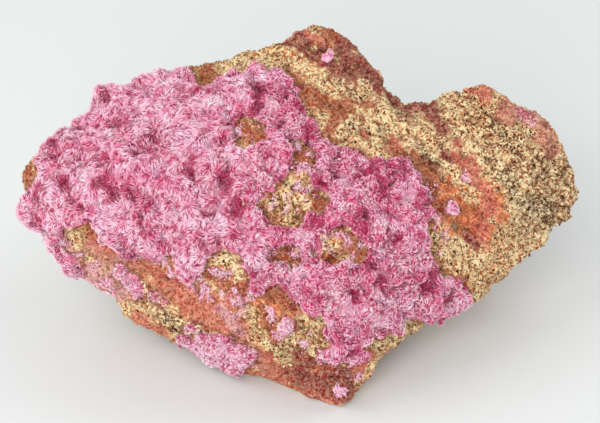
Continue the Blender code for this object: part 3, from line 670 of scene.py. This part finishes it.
# The crusts are erythrite, a cobalt arsenate. Its needles grow out from many roots into felted
# rosettes, whitish at their tips, with painted shade in deep magenta between them. They are grown fast to
# the ore.
CRUST_SMOOTHING = 3
RIM = 0.35  # below this share of the outer side, a point belongs to its crust's rim
TUFT_RADIUS = (0.8, 1.9)
TUFT_CLOSENESS = 0.72  # beside the two radii: the least that two tufts' middles are apart
ROOT_OFFSET = 0.7  # how far from its tuft's middle a spray starts, beside the tuft's radius
FINER_FROM, FINER_TUFTS = -10.0, 0.38  # to the right of this place the tufts are smaller
TUFT_HEIGHT, TUFT_STEPS = 0.70, 0.38
GAP_DEPTH, HOLLOW_DEPTH, THIN_DEPTH = 0.65, 0.80, 0.30
SWELLS = ((4.4, 0.55), (2.2, 0.25), (0.9, 0.16))  # mm across, mm high
SMALL_CRUST = 0.35  # below this scale of its tufts, a crust is only a clump
CLUMP_SWELL, CLUMP_RIM_SINK = (0.7, 0.55), 0.6  # mm across and high, and mm deep
LEAST_COVER, SEAT = 0.35, 0.3  # mm: a crust's least height over the ore, and how far its rim sinks
LATHS_PER_MM2 = 48
LATH_WIDTH, LATH_LIFT = 0.056, 0.48
LATH_RISE, CLUMP_RISE, LATH_STRAY = 0.26, 0.8, 0.45  # how much a lath stands up, and how far it strays
# Each crust's laths in mm, how pale it is, its tufts beside the main one's, how deep its bed is,
# and how far its rim is bitten away in mm: everywhere, and where it wavers.
FELTS = {
    "erythrite_crust": (0.90, 0.0, 1.0, 0.30, 0.15, 1.4),
    "erythrite_lower_crust": (0.50, 0.18, 0.4, 0.35, 0.30, 1.0),
    "erythrite_side_band": (0.45, 0.30, 0.25, 0.55, 0.50, 0.7),
    "erythrite_tuft_foot": (0.90, 0.36, 0.3, 0.20, 0.0, 0.3),
    "erythrite_tuft_ledge": (0.90, 0.32, 0.3, 0.10, 0.0, 0.5),
    "erythrite_tuft_right": (0.90, 0.28, 0.3, 0.0, 0.0, 0.4),
    "erythrite_tuft_top": (0.85, 0.34, 0.3, 0.40, 0.0, 0.2),
}
# The main crust's felt is four pieces, split at these places in mm to the right, with a waver.
FELT_ENDS, FELT_WAVER = (-99.0, -24.6, -11.4, 5.6, 99.0), 2.5
# Crumbs of crystal grow on the bare ore too: mm to the right and up, a radius, and how many on 1 mm2.
CRUMBS = (
    ((-18.5, -7.5), (-9.5, -13.0), 3.0, 2.4), ((-4.6, -15.0), (-2.8, -18.2), 0.9, 2.5),
    ((0.5, -19.5), (9.0, -23.5), 1.8, 3.5), ((-8.5, 12.5), (-5.5, 11.0), 1.6, 3.0),
    ((0.0, 9.0), (0.5, 4.0), 1.6, 2.0), ((-4.5, 1.0), (2.5, 1.0), 1.6, 1.2),
    ((4.5, -4.0), (8.5, -6.0), 2.0, 1.6), ((-4.0, -6.5), (-1.0, -7.0), 1.4, 2.0),
    ((19.5, 4.0), (21.5, -5.5), 1.1, 1.6), ((24.4, 5.6), (24.8, 5.0), 0.7, 3.0),
    ((33.2, 14.8), (34.8, 13.6), 1.0, 3.0), ((-37.0, -6.0), (-30.0, -11.0), 2.5, 3.5),
    ((-10.0, -19.0), (-7.0, -22.0), 1.2, 2.5), ((-29.0, -4.0), (-24.0, -7.0), 1.0, 2.0),
)
CRUMB_HALF, CRUMB_PALENESS = 0.30, 0.95
# Where they are thick, laths lie between them in small patches.
PATCH_LATHS_PER_MM2, PATCH_LENGTH, PATCH_LIFT, PATCH_RISE, PATCH_STRAY = 62, 0.52, 0.45, 0.30, 0.8
# Where the crust is thin: from, to and a radius, in mm to the right and up on the front.
THIN_CRUST = (
    ((-41.0, -5.5), (-38.0, -9.5), 3.0), ((-38.0, -8.5), (-31.8, -10.8), 3.2),
    ((-18.6, 22.6), (-16.8, 21.6), 1.6),
)
# Where the crust sinks into a hollow, darkened there as painted shade, and where a tuft is nearly white:
# place and radius.
HOLLOWS = (
    (-29.1, 17.6, 1.1), (-18.0, 17.0, 0.5), (-22.1, 11.0, 1.1), (-23.4, 9.2, 0.9),
    (-36.9, 8.5, 1.1), (-35.9, 4.7, 1.2), (-35.4, 3.2, 0.8), (-16.3, 6.4, 0.9),
    (-28.2, 2.8, 0.8), (-24.9, 2.2, 0.9), (-24.0, -0.7, 0.9), (-38.9, 0.5, 0.6),
    (-37.4, 0.8, 0.6), (-32.7, 0.5, 0.6), (-30.4, 4.1, 0.6), (-23.6, -2.9, 0.6),
    (-21.1, -2.2, 0.6), (-11.1, 5.0, 1.5), (-9.4, 0.8, 1.3), (-4.8, 8.5, 0.5),
    (12.2, 3.4, 0.9), (13.3, 2.0, 0.9), (10.2, -0.7, 0.8), (14.4, -4.3, 1.2),
    (2.2, -1.4, 1.1), (3.3, 0.8, 0.9), (-6.8, -9.5, 0.9), (-4.3, -9.4, 0.9),
    (7.9, -12.2, 0.9), (10.7, -8.3, 0.9), (-12.2, -4.9, 0.9), (12.6, -10.3, 0.9),
    (3.6, 3.5, 0.8), (9.9, 5.9, 0.9), (-6.1, 18.1, 1.3), (-10.3, 13.6, 0.9),
    (-3.0, 13.0, 0.9), (0.1, 16.3, 0.8), (-2.1, 17.6, 0.6), (1.2, 12.1, 0.6),
    (-16.6, 6.4, 0.9), (-1.9, 4.1, 0.5), (19.1, -11.2, 1.1), (8.4, -12.7, 0.8),
    (-0.3, 2.9, 0.6), (-27.3, 12.8, 0.8), (-33.0, 12.5, 0.6), (-14.2, -0.1, 0.8),
    (14.2, 5.9, 0.9), (15.8, 7.7, 0.9),
)
PALE_TUFTS = (
    (-34.4, 7.9, 0.9), (-30.0, 15.5, 1.1), (-22.1, 20.8, 0.9), (-18.8, 6.7, 1.1),
    (-19.3, -1.0, 1.2), (-15.3, 7.9, 0.9), (-15.4, 12.8, 1.2), (-10.8, 8.0, 1.2),
    (-5.2, 7.3, 0.9), (-4.2, 16.3, 1.2), (-8.7, 16.9, 1.1), (-12.8, 2.8, 0.9),
    (-11.8, 1.0, 0.9), (7.6, -14.8, 1.8), (11.8, -16.7, 1.6), (22.3, -10.7, 1.2),
    (4.5, -5.8, 0.9), (-0.9, -9.5, 1.3), (7.8, -7.6, 0.9), (6.8, 4.7, 1.2), (16.5, 2.5, 1.2),
    (0.0, -3.5, 1.1), (-36.0, -0.5, 0.9), (-28.5, -2.0, 1.2), (-25.5, 7.0, 1.1),
    (-31.8, 5.5, 0.9), (3.3, 6.2, 0.9), (13.5, 9.2, 0.8), (4.5, -17.0, 0.9),
)
CRYSTAL_COLOURS = (
    (0.00, (0.50, 0.03, 0.20)), (0.22, (0.80, 0.20, 0.42)), (0.46, (0.95, 0.45, 0.62)),
    (0.70, (0.98, 0.72, 0.82)), (1.00, (1.00, 0.92, 0.96)),
)
# What whitens a crystal, as kept in the mesh, and by how much: it starts a little below 0.
# Whitening by height is painted light on the upper laths; the low laths and the bed stay darker as painted
# shade.
WHITENING = {"along": 0.24, "tone": 0.44, "high": 0.34, "blush": 0.54}
WHITENING_START = -0.125

ore_tree = tree_of(ore_mesh, ore_points)
chance = np.random.default_rng(41)


def crystal_finish():
    """Pink crystals: whiter along and by chance, whiter up as painted light, and dark magenta as painted
    shade where the crust is deep and on low laths.
    """
    material, tree, surface = finish_of("erythrite")
    mm = in_mm(tree)
    tone, high, deep_shade, pale = (kept(tree, name) for name in ("tone", "high", "deep_shade", "pale"))
    whiteness = WHITENING_START
    for name, share in WHITENING.items():
        whiteness = maths(tree, "MULTIPLY_ADD", kept(tree, name), share, whiteness)
    ramp = put(tree, "ShaderNodeValToRGB", {"Fac": whiteness})
    while len(ramp.color_ramp.elements) < len(CRYSTAL_COLOURS):
        ramp.color_ramp.elements.new(0.5)
    for element, (position, shown) in zip(ramp.color_ramp.elements, CRYSTAL_COLOURS):
        element.position, element.color = position, (*linear(shown), 1)

    dulled = between(tree, cloud(tree, mm, 0.35), 0.35, 0.70, 0.0, 0.5)
    # Painted shade: deep magenta in hollows, between tufts and round the hollows, darkest where deepest.
    sunk_shade = product(
        tree, between(tree, deep_shade, 0.1, 0.9, 0.0, 0.90), between(tree, high, 0.4, 1.0, 1.0, 0.8),
        between(tree, tone, 0.66, 0.92, 1.0, 0.35),
    )
    darkest_shade = between(tree, deep_shade, 0.8, 1.0, 0.0, 0.40)
    whitish = between(tree, pale, 0.1, 0.9, 0.0, 0.55)
    # Painted shade: low laths and the bed turn deep ruby where they are dark by chance.
    low = product(tree, between(tree, high, 0.75, 0.35), between(tree, pale, 0.1, 0.6, 1.0, 0.35))
    low_lath_shade = product(tree, between(tree, tone, 0.38, 0.32, 0.0, 0.95), low)
    colour = mixed(tree, dulled, out(ramp, "Color"), (0.95, 0.80, 0.90), "MULTIPLY")
    colour = mixed(tree, sunk_shade, colour, (0.80, 0.22, 0.46), "MULTIPLY")
    colour = mixed(tree, darkest_shade, colour, (0.62, 0.34, 0.42), "MULTIPLY")
    colour = mixed(tree, whitish, colour, (0.94, 0.80, 0.86))
    colour = mixed(tree, low_lath_shade, colour, (0.62, 0.05, 0.29))
    tree.links.new(colour, surface.inputs["Base Color"])
    surface.inputs["Roughness"].default_value = 0.5
    surface.inputs["Specular IOR Level"].default_value = 0.4
    ridges = {"Height": cloud(tree, mm, 5.0, 3.0), "Strength": 0.5, "Distance": 0.0003}
    tree.links.new(out(put(tree, "ShaderNodeBump", ridges)), surface.inputs["Normal"])
    return material


def felted_laths():
    """Laths scattered on a bed, lifted off it by chance and leaning along the kept way."""
    tree, given, result = new_tree("felted_laths", (
        ("Crystal", "Object"), ("Where", "String"), ("Per Square Metre", "Float"), ("Length", "Float"),
        ("Width", "Float"), ("Lift", "Float"), ("Rise", "Float"), ("Stray", "Float"), ("Seed", "Int"),
        ("Finish", "Material"),
    ))
    points = scattered(tree, given)
    normal = out(points, "Normal")
    laths = stored(tree, out(points, "Points"), "tone", random_value(tree, "FLOAT", 0.0, 1.0, 4))
    laths = stored(tree, laths, "high", random_value(tree, "FLOAT", 0.0, 1.0, 5))
    lift = product(tree, read(tree, "high"), read(tree, "room"), given["Lift"])
    laths = out(put(tree, "GeometryNodeSetPosition", {
        "Geometry": laths, "Offset": scaled(tree, normal, lift)}))

    stray = random_value(tree, "FLOAT_VECTOR", (-1, -1, -1), (1, 1, 1), 1)
    stray = scaled(tree, stray, given["Stray"])
    level = vectors(tree, "SUBTRACT", stray, vectors(tree, "PROJECT", stray, normal))
    way = vectors(tree, "ADD", read(tree, "way", "FLOAT_VECTOR"), level)
    way = vectors(tree, "ADD", way, scaled(tree, normal, given["Rise"]))
    pointed = put(tree, "FunctionNodeAlignRotationToVector", {"Vector": way}, axis="Z")
    roll = put(tree, "ShaderNodeCombineXYZ", {2: random_value(tree, "FLOAT", 0.0, FULL_TURN, 6)})
    roll = out(put(tree, "FunctionNodeEulerToRotation", {0: out(roll)}))
    turns = {"Rotation": out(pointed), "Rotate By": roll}
    rolled = put(tree, "FunctionNodeRotateRotation", turns, rotation_space="LOCAL")
    length = product(tree, random_value(tree, "FLOAT", 0.45, 1.35, 2), read(tree, "room"), given["Length"])
    width = product(tree, random_value(tree, "FLOAT", 0.65, 1.35, 3), given["Width"])
    size = out(put(tree, "ShaderNodeCombineXYZ", {0: width, 1: width, 2: length}))
    tree.links.new(instanced(tree, laths, given["Crystal"], out(rolled), size, given["Finish"]), result)
    return tree


def tufts_on(points, allowed, scale):
    """Middles and radii of tufts that crowd a surface."""
    middles, radii = [], []
    for i in chance.permutation(np.flatnonzero(allowed)):
        radius = chance.uniform(*TUFT_RADIUS) * scale * (1 - FINER_TUFTS * (points[i][0] > FINER_FROM))
        if middles:
            gaps = np.linalg.norm(np.array(middles) - points[i], axis=1)
            if (gaps < TUFT_CLOSENESS * (np.array(radii) + radius)).any():
                continue
        middles.append(points[i])
        radii.append(radius)
    return np.array(middles), np.array(radii)


def nearest_tufts(points, middles, radii):
    """The tuft that each point lies on, and how far out it lies beside the tuft's radius."""
    nearest, share = np.zeros(len(points), int), np.full(len(points), 9.0)
    for i, (middle, radius) in enumerate(zip(middles, radii)):
        distance = np.linalg.norm(points - middle, axis=1) / radius
        nearest[distance < share] = i
        share = np.minimum(share, distance)
    return nearest, share


def over_ore(points, facing):
    """The way off the ore at each point, mm over it, and 1 on the crust's outer side."""
    hits = [ore_tree.find_nearest(p) for p in points.tolist()]
    height = np.array([h[3] for h in hits])
    off = (points - np.array([h[0] for h in hits])) / np.maximum(height, 1e-6)[:, None]
    return off, height, step(0.0, 0.4, (off * facing).sum(1)) * step(0.45, 0.95, height)


def from_rim(points, outer):
    rim = KDTree(int((outer < RIM).sum()))
    for i in np.flatnonzero(outer < RIM):
        rim.insert(points[i], int(i))
    rim.balance()
    return np.array([rim.find(p)[2] for p in points.tolist()])


def spots(places, marks, spread=1.0):
    """1 in the middle of each mark and 0 outside them."""
    strength = np.zeros(len(places))
    for right, up, radius in marks:
        away = np.linalg.norm(places - (right, up), axis=1)
        strength = np.maximum(strength, 1 - step(0.45, 1.25, away / radius / spread))
    return strength


def shaped_crust(node):
    """Shapes a crust's bed, keeps what its finish and felt read, and tells where the felt grows."""
    _, paleness, scale, depth, bitten_off, wavers = FELTS[node]
    clump, small = scale < SMALL_CRUST, min(1.0, 1.6 * scale)
    mesh = crust_meshes[node]
    squares = squares_of(mesh)
    points = relaxed(squares, points_of(mesh), CRUST_SMOOTHING)
    facing = outward(squares, points)
    off, height, outer = over_ore(points, facing)
    front = on_front(points)
    wavering = bumpy_ways(points, 1.2, 51, 2) + 0.8 * bumpy_ways(points, 0.6, 55, 2)
    hollows = spots(front + 0.8 * wavering, HOLLOWS) * outer
    shades = spots(front + 1.2 * wavering, HOLLOWS, 2.3) * outer
    rim_distance = from_rim(points, outer)
    wavy = bumps(points, 1.7, 53) + 0.57 * bumps(points, 0.8, 54)
    bitten = outer * step(0.25, -0.25, rim_distance - bitten_off - wavers * wavy)
    thin = np.zeros(len(points))
    for start, end, radius in THIN_CRUST:
        thin = np.maximum(thin, 1 - step(0.7, 1.3, from_line(front, start, end) / radius))

    middles, radii = tufts_on(points, outer > 0.9, scale)
    warped = points + 0.55 * scale * bumpy_ways(points, 1.1, 37)
    nearest, share = nearest_tufts(warped, middles, radii)
    dome = np.sqrt(np.clip(1 - np.minimum(share, 1) ** 2, 0, 1))
    gaps = step(0.72, 1.0, share) * step(-0.30, 0.15, bumps(points, 2.4, 41))
    steps = chance.uniform(-1, 1, len(middles))[nearest]
    swell = sum(high * bumps(points, size, 30 + i) for i, (size, high) in enumerate(SWELLS))
    rise = (TUFT_HEIGHT * (dome - 0.6) + TUFT_STEPS * steps * dome) * scale * (1 - 0.7 * thin)
    rise += swell * small * small * (1 - 0.7 * thin)
    rise += clump * CLUMP_SWELL[1] * bumps(points, CLUMP_SWELL[0], 31)
    lift = outer * (rise - depth - THIN_DEPTH * thin - GAP_DEPTH * small * gaps) - HOLLOW_DEPTH * hollows
    lift -= clump * CLUMP_RIM_SINK * outer * step(1.0, 0.0, rim_distance)
    lift = np.maximum(lift, LEAST_COVER - height)
    points = points + facing * lift[:, None]
    seated = (1 - step(0.55, 1.35, height)) * (height + SEAT)
    points = points - off * seated[:, None] * (1 - outer)[:, None]
    points = points - off * (bitten * (height + lift + SEAT))[:, None]
    points[:, 2] = np.maximum(points[:, 2], 0.1)
    place(mesh, points)
    facing = outward(squares, points)

    roots = middles - ROOT_OFFSET * radii[:, None] * unit(chance.normal(size=(len(middles), 3)))
    way = warped - roots[nearest]
    reach = np.clip(np.linalg.norm(way, axis=1) / radii[nearest] / (1 + ROOT_OFFSET), 0, 1)
    tuft_blush = chance.beta(1.3, 1.3, len(middles))[nearest]
    broad = 0.5 + (0.85 * bumps(points, 3.8, 36) + 0.65 * bumps(points, 1.4, 38)) * small
    rosier = step(-15, -6, points[:, 0]) * step(-12, -4, front[:, 1])
    blush = 0.34 * tuft_blush + 0.42 * broad + 0.55 * (reach - 0.42) + 0.14 - 0.07 * rosier
    shaded = step(0.26, 0.50, bumps(points, 2.9, 40)) * (1 - paleness)
    # Painted shade for the finish: hollows, gaps between tufts, the shade round hollows and shaded patches.
    deep_shade = hollows + 0.8 * gaps + 0.40 * shades + 0.8 * shaded
    tone = 0.05 + (0.3 + 0.7 * paleness) * bumps(points, 0.6, 33) + 0.5 * paleness + 0.2 * (1 - outer)
    white_tuft = spots(front + 0.75 * wavering, PALE_TUFTS) * outer * (1 - hollows)
    finer = 1 - 0.40 * step(-16, 2, points[:, 0])
    keep_vectors(mesh, "way", level_with(way, facing))
    for name, values in {
        "room": finer * (1 - 0.45 * hollows) * (1 - 0.55 * thin) * (0.25 + 0.75 * outer),
        "along": np.full(len(points), 0.1),
        "high": np.zeros(len(points)),
        "tone": tone,
        "blush": np.clip(blush + paleness + 0.30 * thin, -0.1, 1.2),
        "deep_shade": np.clip(deep_shade * (1 - thin) * (1 - min(2 * paleness, 0.8)), 0, 1),
        "pale": np.maximum(np.maximum(0.85 * white_tuft, 1.3 * paleness), 0.6 * (1 - outer)),
    }.items():
        keep_values(mesh, name, values)
    return mesh, points, outer ** 0.55 * (1 - 0.35 * hollows) * (1 - bitten)


crystal = crystal_finish()
felt_tree = felted_laths()
lath_mesh = bpy.data.meshes.new("lath")
lath_mesh.from_pydata(
    [(0, -0.35, -0.4), (0, -0.35, 0.6), (-1, 0.35, 0.1), (1, 0.35, 0.1)], [],
    [(0, 2, 3), (1, 3, 2), (0, 1, 2), (0, 3, 1)],
)
keep_values(lath_mesh, "along", np.array((0, 1.0, 0.55, 0.55)))
lath = bpy.data.objects.new("lath", lath_mesh)

for number, node in enumerate(crust_nodes):
    mesh, points, growth = shaped_crust(node)
    piece_of(f"{node}_bed", mesh, crystal, "erythrite", node)
    parts = {"": growth}
    if node == "erythrite_crust":
        sway = points[:, 0] + FELT_WAVER * bumps(points, 6.0, 35)
        parts = {
            f"_{k + 1}": growth * ((sway >= start) & (sway < end))
            for k, (start, end) in enumerate(zip(FELT_ENDS, FELT_ENDS[1:]))
        }
    length, _, scale, *_ = FELTS[node]
    for part, where in parts.items():
        keep_values(mesh, f"grows{part}", where)
        felt = grown(f"{node}{part}_felt", mesh, felt_tree, {
            "Crystal": lath, "Where": f"grows{part}", "Per Square Metre": LATHS_PER_MM2 * 1e6,
            "Length": length / 1000, "Width": LATH_WIDTH / 1000, "Lift": LATH_LIFT / 1000,
            "Rise": CLUMP_RISE if scale <= SMALL_CRUST else LATH_RISE, "Stray": LATH_STRAY,
            "Seed": 50 + number, "Finish": crystal,
        })
        piece_of(f"{node}{part}_felt", felt, crystal, "erythrite").data.shade_flat()

crumbs = np.zeros(len(ore_points))
for start, end, radius, per_mm2 in CRUMBS:
    crumbs = np.maximum(crumbs, per_mm2 * (1 - step(0.6, 1.2, from_line(ore_front, start, end) / radius)))
crumbs *= bare * seen_front
patches = step(0.14, 0.28, bumps(ore_points, 1.7, 44) + 0.35 * bumps(ore_points, 0.7, 45))
keep_values(ore_mesh, "crumbs", crumbs * (0.12 + 0.88 * patches))
keep_values(ore_mesh, "patches", np.minimum(crumbs, 3) / 3 * patches)
keep_vectors(ore_mesh, "way", level_with(bumpy_ways(ore_points, 0.8, 46), ore_facing))
keep_values(ore_mesh, "room", np.ones(len(ore_points)))
keep_values(ore_mesh, "blush", np.clip(0.75 + 0.5 * bumps(ore_points, 1.2, 49), 0, 1))
felt = grown("crystal_patches", ore_mesh, felt_tree, {
    "Crystal": lath, "Where": "patches", "Per Square Metre": PATCH_LATHS_PER_MM2 * 1e6,
    "Length": PATCH_LENGTH / 1000, "Width": LATH_WIDTH / 1000, "Lift": PATCH_LIFT / 1000,
    "Rise": PATCH_RISE, "Stray": PATCH_STRAY, "Seed": 61, "Finish": crystal,
})
piece_of("crystal_patches", felt, crystal, "erythrite").data.shade_flat()
scatter = grown("crystal_crumbs", ore_mesh, grain_tree, {
    "Grain": grain, "Where": "crumbs", "Per Square Metre": 1e6, "Size": CRUMB_HALF / 1000,
    "Paleness": CRUMB_PALENESS, "Seed": 60, "Finish": crystal,
})
piece_of("crystal_crumbs", scatter, crystal, "erythrite").data.shade_flat()
bpy.data.objects.remove(lath)
bpy.data.objects.remove(grain)

# The specimen lies on plain pale paper. It is lit softly from in front and from both sides,
# and seen through a long lens from 30 degrees above.
PAPER_COLOUR, PAPER_HALF = (0.846, 0.858, 0.856), 3
LIGHTS = {  # each lamp's place in m, its side in m, its power in W and its colour
    "front": ((-0.20, -0.75, 0.40), 0.50, 6.3, (1.0, 0.995, 0.98)),
    "left": ((-0.45, -0.22, 0.55), 0.45, 1.7, (1.0, 1.0, 1.0)),
    "side": ((0.70, 0.10, 0.32), 0.45, 1.9, (1.0, 1.0, 1.0)),
    "back": ((-0.25, 0.60, 0.55), 0.60, 0.6, (1.0, 1.0, 1.0)),
}
LIT_PLACE = (0, 0, 0.02)
ROOM_COLOUR, ROOM_STRENGTH = (0.98, 0.99, 1.0, 1), 0.60
LENS, SENSOR = 200, 36  # mm

paper, _, surface = finish_of("pale_paper")
surface.inputs["Base Color"].default_value = (*linear(PAPER_COLOUR), 1)
surface.inputs["Roughness"].default_value = 0.8
surface.inputs["Specular IOR Level"].default_value = 0.2
floor_mesh = bpy.data.meshes.new("floor")
corners = [(x * PAPER_HALF, y * PAPER_HALF, 0) for x, y in ((-1, -1), (1, -1), (1, 1), (-1, 1))]
floor_mesh.from_pydata(corners, [], [(0, 1, 2, 3)])
floor_mesh.materials.append(paper)
floor = bpy.data.objects.new("floor", floor_mesh)
scene.collection.objects.link(floor)

for name, (where, side, power, shade) in LIGHTS.items():
    light = bpy.data.lights.new(name, "AREA")
    light.size, light.energy, light.color = side, power, shade
    lamp = bpy.data.objects.new(name, light)
    lamp.location = where
    lamp.rotation_euler = (Vector(LIT_PLACE) - Vector(where)).to_track_quat("-Z", "Y").to_euler()
    scene.collection.objects.link(lamp)
scene.world = bpy.data.worlds.new("room")
scene.world.use_nodes = True
backdrop = scene.world.node_tree.nodes["Background"]
backdrop.inputs["Color"].default_value = ROOM_COLOUR
backdrop.inputs["Strength"].default_value = ROOM_STRENGTH
scene.view_settings.view_transform = "Standard"

camera_data = bpy.data.cameras.new("camera")
camera_data.lens, camera_data.sensor_width = LENS, SENSOR
camera_data.clip_start, camera_data.clip_end = 0.01, 20
camera = bpy.data.objects.new("camera", camera_data)
camera.location = Vector((FRONT_CENTRE + TO_EYE * EYE_DISTANCE) / 1000)
camera.rotation_euler = (math.radians(90) - LOOKING_DOWN, 0, 0)
scene.collection.objects.link(camera)
scene.camera = camera
